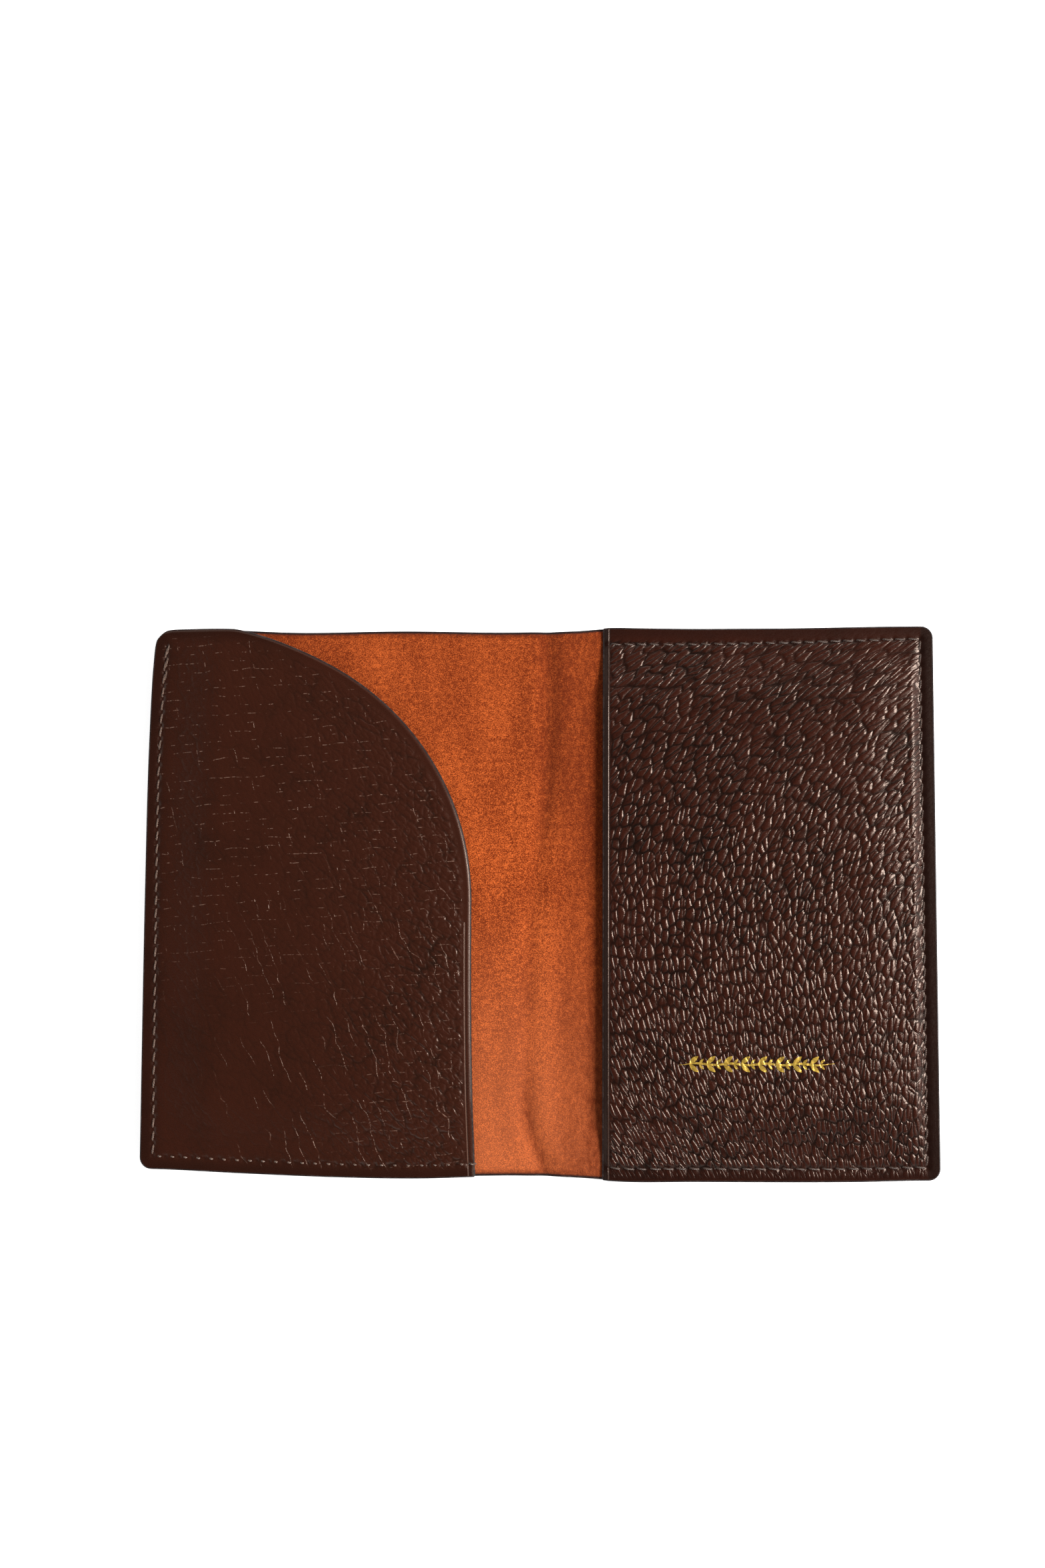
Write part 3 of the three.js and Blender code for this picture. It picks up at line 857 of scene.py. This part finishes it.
def back_panel_top(x, y):
    side, foot, head = LEATHER_X - x, LEATHER_Y + y, LEATHER_Y - y
    swell = full_swell(side) * sewn_swell(foot, head)
    crown = 0.4 * bump(x, 62, 42) * bump(y, 4, 62)
    puckers = 0.18 * np.sin(y / 9.0 + 1.0) * bump(side, 11, 7) + 0.15 * np.sin(x / 8.0) * bump(foot, 11, 6)
    rise = (PANEL_TOP - FLANGE_TOP + crown + puckers) * swell
    edge = edge_round(x - BACK_FREE_X, 0.5, PRESSED_INSET)
    return FLANGE_TOP + rise - edge - PANEL_PULL * back_depth(x, y)


def front_panel_top(x, y):
    side, foot = x + LEATHER_X, LEATHER_Y + y
    swell = sewn_swell(side, foot)
    free = SWEEP.distance(x, y)
    crown = 0.5 * bump(x, -62, 36) * bump(y, -8, 60)
    sag = 0.35 * (1 - smooth(free, 0, 14))
    waves = 0.16 * np.sin(x / 13 + y / 17)
    rise = (PANEL_TOP - FLANGE_TOP + crown - sag + waves) * swell
    return FLANGE_TOP + rise - edge_round(free, 0.25, 0.6) - PANEL_PULL * front_depth(x, y)


class Sweep:
    """The front pocket's free edge: the leather's own edge up to the head, and distances from it."""

    def __init__(self):
        foot = bezier((SWEEP_FOOT_X, -HALF_HEIGHT), (SWEEP_FOOT_X - 0.6, -54), (SWEEP_X, -36),
                      (SWEEP_X, SWEEP_START_Y), 40)
        sweep = bezier((SWEEP_X, SWEEP_START_Y), (SWEEP_X, 39), (-49.8, HALF_HEIGHT - 0.2),
                       (SWEEP_TOP_X, HALF_HEIGHT + SWEEP_PAST_HEAD), 90)
        path = np.concatenate([foot[:-1], sweep])
        path = path - right_of(np.gradient(path, axis=0)) * PAINT_REACH
        path = path[:np.argmax(path[:, 1] >= LEATHER_Y) + 1]
        path[:, 1] = np.clip(path[:, 1], -LEATHER_Y, LEATHER_Y)
        self.path = path
        self.whole = np.concatenate([path, [[-LEATHER_X, LEATHER_Y]]])

    def x(self, y):
        return np.interp(y, self.path[:, 1], self.path[:, 0])

    def distance(self, x, y):
        return distance_to_path(np.stack([x, y], 1), self.whole)


SWEEP = Sweep()
PANEL_SPACING = 0.42
PANEL_GRAIN = 0.18


def shares_of(length, spacing):
    return np.linspace(0, 1, whole_cells(length, spacing))


def panel(half, grid, top, material, height, **attributes):
    """One pocket's panel. Returns the function for its underside."""

    def bottom(x, y):
        return np.maximum(PANEL_BOTTOM, top(x, y) - PANEL_THICKNESS)

    piece = slab(half + "_pocket_leather", grid, top, bottom, **attributes)
    apply_relief(piece, height)
    finish_piece(piece, material, ["pocket_" + half], half + "_half")
    declare_sheet(grid)
    return bottom


def back_pocket():
    y = rows_of(PANEL_SPACING)
    grid = grid_between(np.full(len(y), BACK_FREE_X), side_x(y), y,
                        shares_of(LEATHER_X - BACK_FREE_X, PANEL_SPACING))

    def relief(x, y):
        rim = np.minimum(from_rim(x, y), x - BACK_FREE_X)
        open_grain = smooth(LEATHER_X - x, 2.7, 3.7) * smooth(LEATHER_Y - y, 2.4, 3.6)
        open_grain *= smooth(x - BACK_FREE_X, 1.3, 1.9)
        open_grain *= 0.45 + 0.55 * smooth(LEATHER_Y + y, 2.6, 4.0)
        open_grain *= 1 - 0.3 * smooth(y, 15, 66) * smooth(x, 35, 75)
        return PANEL_GRAIN * (0.07 + 0.93 * open_grain) * smooth(rim, 0.2, 1)

    def inset(x, y):
        return x - BACK_FREE_X

    return grid, panel("back", grid, back_panel_top, PEBBLED, pebbled_height, relief=relief,
                       stitched=back_seam_shade_and_margins, inset=inset)


def front_pocket():
    y = rows_of(PANEL_SPACING)
    grid = grid_between(-side_x(y), SWEEP.x(y), y, shares_of(SWEEP_FOOT_X + LEATHER_X, PANEL_SPACING))

    def rim_fade(x, y):
        rim = np.minimum(np.minimum(SWEEP.distance(x, y), x + LEATHER_X), LEATHER_Y + y)
        return smooth(rim, 1.2, 3.2)

    def relief(x, y):
        open_hide = smooth(x, -62, -25) * smooth(-y, -10, 45)
        return rim_fade(x, y) * (0.045 + 0.09 * smooth(x, -74, -24) + 0.02 * open_hide)

    def crackle(x, y):
        return rim_fade(x, y) * np.maximum(smooth(y, -42, 15), 0.85 * smooth(x, -62, -30))

    def streak(x, y):
        return rim_fade(x, y) * smooth(0.45 * (x + 60) - y, -20, 30) * smooth(x, -88, -66)

    def inset(x, y):
        return np.where(y < -6, SWEEP.distance(x, y), 0)

    return grid, panel("front", grid, front_panel_top, SMOOTH, smooth_height, relief=relief,
                       stitched=front_seam_shade_and_margins, crackle=crackle, streak=streak, inset=inset)


# ---- Cover and lining ----

COVER_SPACING = 0.5
COVER_GRAIN = 0.16
COVER_FLOOR = 0.08  # the highest pebbles of the cover's outside lie this far above the table


def level(height):
    """A slab's side that is all at one height."""
    return lambda x, y: np.full(len(x), height)


def half_grid(side, spacing):
    """Places over one half of the wallet, from its side to the middle of the spine."""
    y = rows_of(spacing)
    zero = np.zeros(len(y))
    left, right = (-side_x(y), zero) if side < 0 else (zero, side_x(y))
    return grid_between(left, right, y, shares_of(LEATHER_X, spacing))


def cover_outside(side):
    depth = front_depth if side < 0 else back_depth

    def height(x, y):
        rounding = 0.25 * (1 - smooth(from_rim(x, y), 0, 0.8))
        return COVER_FLOOR + COVER_GRAIN + rounding + 0.5 * depth(x, y)

    return height


def cover(side):
    dark = front_seam_shade_and_margins if side < 0 else back_seam_shade_and_margins

    def relief(x, y):
        return -COVER_GRAIN * smooth(from_rim(x, y), 0.2, 2.5)

    grid = half_grid(side, COVER_SPACING)
    half = half_of(side)
    piece = slab(half + "_cover_leather", grid, level(COVER_TOP), cover_outside(side), fine_below=True,
                 relief=relief, stitched=dark)
    apply_relief(piece, pebbled_height)
    finish_piece(piece, PEBBLED, ["cover_" + half, "cover_spine"])
    declare_sheet(grid)
    bend_at_spine(piece, side)
    return grid


SPINE_CREASE = [(-LEATHER_Y, 2.8), (-57, -0.8), (-35, -1.2), (6, 0.5), (23, 2.6), (45, 3.2),
                (LEATHER_Y, 3.2)]


def crease_strength(y):
    """The crease is sharp towards the head, soft below the middle and plainer again at the foot."""
    return 0.35 + 0.65 * smooth(y, 4, 26) + 0.5 * smooth(-y, 38, 55)


def crease_distance(x, y):
    """How far a place is from the soft crease that wanders down the middle of the suede."""
    return x - eased(y, SPINE_CREASE)


def lining_top(x, y):
    off = crease_distance(x, y)
    valley = 0.5 * crease_strength(y) * bump(off, 0, 2.0)
    valley -= 0.22 * bump(off, 4.6, 2.6) + 0.2 * bump(off, -4.8, 3.0)
    under_pocket = smooth(x, BACK_FREE_X - 1, BACK_FREE_X + 3)
    return LINING_TOP - valley * (1 - under_pocket) - 0.25 * (1 - smooth(from_ends(y), 0, 0.9))


def lining(side):
    # Painted shade along the crease's fold, to the right of it towards the back pocket and in the pocket's
    # cast shadow; also darker towards the head and near the head and foot.
    def crease(x, y):
        off = crease_distance(x, y)
        shade = 0.75 * smooth(x, 1, 10) + 0.42 * smooth(y, 0, 60)
        shade += 0.6 * smooth(x, BACK_FREE_X - 6, BACK_FREE_X - 0.5)
        trimmed = 0.8 * (1 - smooth(from_ends(y), 0.4, 1.9))
        fold = crease_strength(y) * (0.85 * bump(off, 0, 1.5) + 0.35 * bump(off, 0, 4.5))
        return np.clip(fold + shade + trimmed, 0, 1)

    def paler(x, y):
        return smooth(-y, -10, 66)

    def dyed(x, y):
        return 1 - smooth(from_ends(y), 0.25, 0.6)

    def relief(x, y):
        return 0.14 * smooth(from_ends(y), 0.0, 1.5)

    half = half_of(side)
    grid = half_grid(side, COVER_SPACING)
    piece = slab(half + "_suede_lining", grid, lining_top, level(LINING_BOTTOM), relief=relief,
                 crease=crease, paler=paler, dyed=dyed)
    apply_relief(piece, napped_height)
    finish_piece(piece, SUEDE, ["lining_" + half, "lining_spine"])
    declare_sheet(grid)
    bend_at_spine(piece, side)


# ---- Edge paint ----

BEAD_SIDES = 12


def bead(name, path, normals, low, high, closed):
    """A rounded coat of paint along a cut edge between two heights. Its inner half lies in the leather."""
    angle = np.linspace(0, 2 * np.pi, BEAD_SIDES, endpoint=False)
    out = np.sign(np.cos(angle)) * np.abs(np.cos(angle)) ** 0.8 * PAINT_REACH * 0.95
    up = np.sign(np.sin(angle)) * np.abs(np.sin(angle)) ** 0.7
    middle, half = (low + high) / 2, (high - low) / 2 + 0.02
    xy = path[:, None, :] + normals[:, None, :] * out[None, :, None]
    z = middle[:, None] + half[:, None] * up[None, :]
    points = np.concatenate([xy, z[..., None]], -1)
    count = len(path)
    index = np.arange(count * BEAD_SIDES).reshape(count, BEAD_SIDES)
    if closed:
        index = np.concatenate([index, index[:1]])
    after = np.roll(index, -1, axis=1)
    polygons = [np.stack([index[:-1], index[1:], after[1:], after[:-1]], -1).reshape(-1, 4)]
    if not closed:
        polygons += [index[:1], index[-1:, ::-1]]
    return make_object(name, points.reshape(-1, 3), polygons)


def loop_normals(path):
    """Outward normals of a closed anticlockwise path."""
    padded = np.concatenate([path[-1:], path, path[:1]])
    return right_of(padded[2:] - padded[:-2])


def panel_paint(half, grid, top, bottom):
    path = rim_places(grid)
    x, y = path.T
    low, high = bottom(x, y), top(x, y)
    piece = bead(half + "_pocket_edge", path, loop_normals(path), low, high, closed=True)
    finish_piece(piece, PAINT, ["edge_paint_pocket_" + half], half + "_half")


def cover_paint(grid, side):
    """Paint round one half's head, side and foot, over the edges of cover and lining together."""
    path = rim_places(grid)
    normals = loop_normals(path)
    at_spine = np.abs(path[:, 0]) < 1e-6
    first = int(np.argmax(~at_spine & np.roll(at_spine, 1))) - 1
    path, normals, at_spine = (np.roll(values, -first, axis=0) for values in (path, normals, at_spine))
    last = int(np.flatnonzero(at_spine[1:])[0]) + 1
    path, normals = path[: last + 1], normals[: last + 1]
    normals[[0, -1]] = [(0, np.sign(path[0, 1])), (0, np.sign(path[-1, 1]))]
    x, y = path.T
    low = np.full(len(path), COVER_FLOOR + 0.1)
    half = half_of(side)
    piece = bead(half + "_cover_edge", path, normals, low, lining_top(x, y) + 0.02, closed=False)
    nodes = ["edge_paint_" + half, "edge_paint_spine_foot", "edge_paint_spine_head"]
    finish_piece(piece, PAINT, nodes)
    bend_at_spine(piece, side)


# ---- Foil ornament ----

FOIL_LOW, FOIL_HIGH = low_mm("foil_ornament"), high_mm("foil_ornament")
FOIL_MIDDLE = (FOIL_LOW + FOIL_HIGH) / 2
FOIL_LENGTH = FOIL_HIGH[0] - FOIL_LOW[0]
LEAF_PAIRS = 8
LEAF_LENGTH = 2.75
FOIL_LIFT = 0.07
FOIL_SINK = 0.02
FOIL_GRAIN = 0.16
BLADE_COLUMNS = 5


def blade(root, direction, length, width, steps=14):
    """Flat places of one leaf or stem: a grid that is widest near its middle and pointed at its tip."""
    t = np.linspace(0, 1, steps)
    half = width / 2 * np.sin(np.pi * np.clip(t, 0.02, 0.985)) ** 0.75
    s = np.linspace(-1, 1, BLADE_COLUMNS)
    bend = 0.25 * t**2 * length
    along = np.array([np.cos(direction), np.sin(direction)])
    side = np.array([-along[1], along[0]]) * np.sign(np.sin(direction) or 1)
    spine = np.array(root) + t[:, None] * length * along - bend[:, None] * side * 0.35
    return spine[:, None] + (half[:, None] * s[None, :])[..., None] * side


def foil_ornament():
    """A stem with paired leaves, and a pair of small leaves after each: generic, with no lettering."""
    stem_x = np.linspace(-FOIL_LENGTH / 2, FOIL_LENGTH / 2, 160)
    wave = 0.18 * np.sin(stem_x / FOIL_LENGTH * 2 * np.pi * 4.5)
    taper = 0.26 * np.clip(4 * (1 - np.abs(stem_x) / (FOIL_LENGTH / 2)), 0.15, 1)
    stem_y = wave[:, None] + taper[:, None] * [-1, 0, 1]
    grids = [np.stack([np.repeat(stem_x[:, None], 3, 1), stem_y], -1)]
    spacing = FOIL_LENGTH / (LEAF_PAIRS + 1)
    for i in range(LEAF_PAIRS):
        x = (i + 0.6) * spacing - FOIL_LENGTH / 2
        for turn in (1, -1):
            grids.append(blade((x, 0.05 * turn), turn * np.radians(46), LEAF_LENGTH, 1.1))
            grids.append(blade((x + 2.4, 0.1 * turn), turn * np.radians(52), 1.5, 0.6, steps=9))
    points, polygons = [], []
    for grid in grids:
        place = grid.reshape(-1, 2) + FOIL_MIDDLE[:2]
        surface = back_panel_top(*place.T)
        first = sum(len(p) for p in points)
        top = first + np.arange(len(place)).reshape(grid.shape[:2])
        low = top + len(place)
        points.append(np.column_stack([place, surface + FOIL_LIFT]))
        points.append(np.column_stack([place, surface - FOIL_SINK]))
        upper = quads(top.T)
        corner = np.concatenate(points)[upper[0]]
        area = np.cross(corner[1, :2] - corner[0, :2], corner[2, :2] - corner[0, :2])
        flip = slice(None) if area > 0 else slice(None, None, -1)
        loop = rim_loop(*grid.shape[:2])
        a, b = top[loop[:, 0], loop[:, 1]], low[loop[:, 0], loop[:, 1]]
        wall = np.stack([np.roll(a, -1), np.roll(b, -1), b, a], -1)
        polygons += [upper[:, flip], quads(low.T)[:, ::-1][:, flip], wall[:, flip]]
    points = np.concatenate(points)
    piece = make_object("foil_leaf_ornament", points, polygons, relief=np.full(len(points), FOIL_GRAIN))
    apply_relief(piece, pebbled_height)
    finish_piece(piece, FOIL, ["foil_ornament"], "back_half")


# ---- The wallet ----

# The front seam is sewn back over itself at its head end, pulled in to points along the foot, and its last
# stitch goes over the panel's edge.
FOOT_RUN = round((FRONT_SEAM_END - FRONT_SEAM[2][0]) / STITCH)
SIDE_HOLES, FOOT_HOLES = FRONT_HOLES[: -FOOT_RUN], FRONT_HOLES[-FOOT_RUN - 1 :]
BACK_TACK = FRONT_HOLES[:4] + (0.42, 0.9)
OVER_EDGE = np.array([(FRONT_SEAM_END - 0.3, FOOT_SEAM_Y), (SWEEP_FOOT_X + 0.5, FOOT_SEAM_Y)])
FRONT_RUNS = [
    (SIDE_HOLES, FULL_STITCH),
    (FOOT_HOLES, PULLED_STITCH),
    (BACK_TACK, FULL_STITCH),
    (OVER_EDGE, 0.35),
]


def front_stitch_base(x, y):
    return np.where(x < SWEEP.x(y) + PAINT_REACH, front_panel_top(x, y), lining_top(x, y))


back_grid, back_bottom = back_pocket()
front_grid, front_bottom = front_pocket()
panel_paint("back", back_grid, back_panel_top, back_bottom)
panel_paint("front", front_grid, front_panel_top, front_bottom)
for side in (-1, 1):
    grid = cover(side)
    lining(side)
    cover_paint(grid, side)

BACK_RUNS = [(BACK_HOLES, FULL_STITCH)]
for side, holes, runs, top in (
    (-1, FRONT_HOLES, FRONT_RUNS, front_stitch_base),
    (1, BACK_HOLES, BACK_RUNS, back_panel_top),
):
    half = half_of(side)
    needle = stitches(half + "_needle_stitches", runs, top, 1)
    finish_piece(needle, THREAD, ["needle_thread_" + half], half + "_half")
    outside = cover_outside(side)
    bobbin = stitches(half + "_bobbin_stitches", [(holes, FULL_STITCH)], outside, -1, BOBBIN_SINK)
    finish_piece(bobbin, THREAD, ["bobbin_thread_" + half], half + "_half")

foil_ornament()

for half in ("front", "back"):
    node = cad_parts["stiffener_" + half]
    node.data.materials.clear()
    node.data.materials.append(BOARD)


# ---- Floor, light and camera ----

WALL_LIGHT = 0.84
CEILING_LIGHT = 0.04
FLOOR_REACH = 3.0  # metres
FLOOR_GLOW = 0.75


def floor():
    """A plain white floor, lit a little from within so that it stays white."""
    mesh = bpy.data.meshes.new("floor")
    corners = [(x * FLOOR_REACH, y * FLOOR_REACH, 0) for x, y in ((-1, -1), (1, -1), (1, 1), (-1, 1))]
    mesh.from_pydata(corners, [], [(0, 1, 2, 3)])
    plane = bpy.data.objects.new("floor", mesh)
    bpy.context.scene.collection.objects.link(plane)
    material, _, shader = new_material("floor", Roughness=0.9, Specular_IOR_Level=0.1)
    shader.inputs["Base Color"].default_value = (0.95, 0.95, 0.95, 1)
    shader.inputs["Emission Color"].default_value = (1, 1, 1, 1)
    shader.inputs["Emission Strength"].default_value = FLOOR_GLOW
    mesh.materials.append(material)


def softbox(name, place, size, watts, colour):
    """A rectangular soft light at a place in metres, aimed at the wallet's middle."""
    light = bpy.data.lights.new(name, "AREA")
    light.shape = "RECTANGLE"
    light.size, light.size_y = size
    light.energy = watts
    light.color = colour
    lamp = bpy.data.objects.new(name, light)
    lamp.location = place
    lamp.rotation_euler = (-Vector(place)).to_track_quat("-Z", "Y").to_euler()
    bpy.context.scene.collection.objects.link(lamp)


def surround():
    """A pale studio all round: bright walls, and a dark ceiling that leaves no haze on the flat leather."""
    world = bpy.data.worlds.new("studio")
    world.use_nodes = True
    graph = Graph(world.node_tree)
    place = graph.add("ShaderNodeTexCoord", output="Generated")
    up = graph.separate(place)[2]
    walls = graph.remap(up, 0.8, 0.5)
    strength = graph.times_plus(walls, WALL_LIGHT - CEILING_LIGHT, CEILING_LIGHT)
    background = world.node_tree.nodes["Background"]
    background.inputs["Color"].default_value = (1, 1, 1, 1)
    graph.feed(background.inputs["Strength"], strength)
    bpy.context.scene.world = world


def camera():
    data = bpy.data.cameras.new("camera")
    data.lens = 35
    data.sensor_width = 36
    data.clip_start = 0.01
    viewer = bpy.data.objects.new("camera", data)
    viewer.location = (0.0176, 0.0, 0.3864)
    viewer.rotation_euler = Euler(np.radians((4.28, 3.08, 0.315)))
    bpy.context.scene.collection.objects.link(viewer)
    bpy.context.scene.camera = viewer


floor()
surround()
softbox("key", (0.94, 0.12, 0.78), (0.3, 0.55), 20.0, (1.0, 0.975, 0.95))
bpy.context.scene.view_settings.view_transform = "Standard"
camera()

bpy.context.view_layer.update()
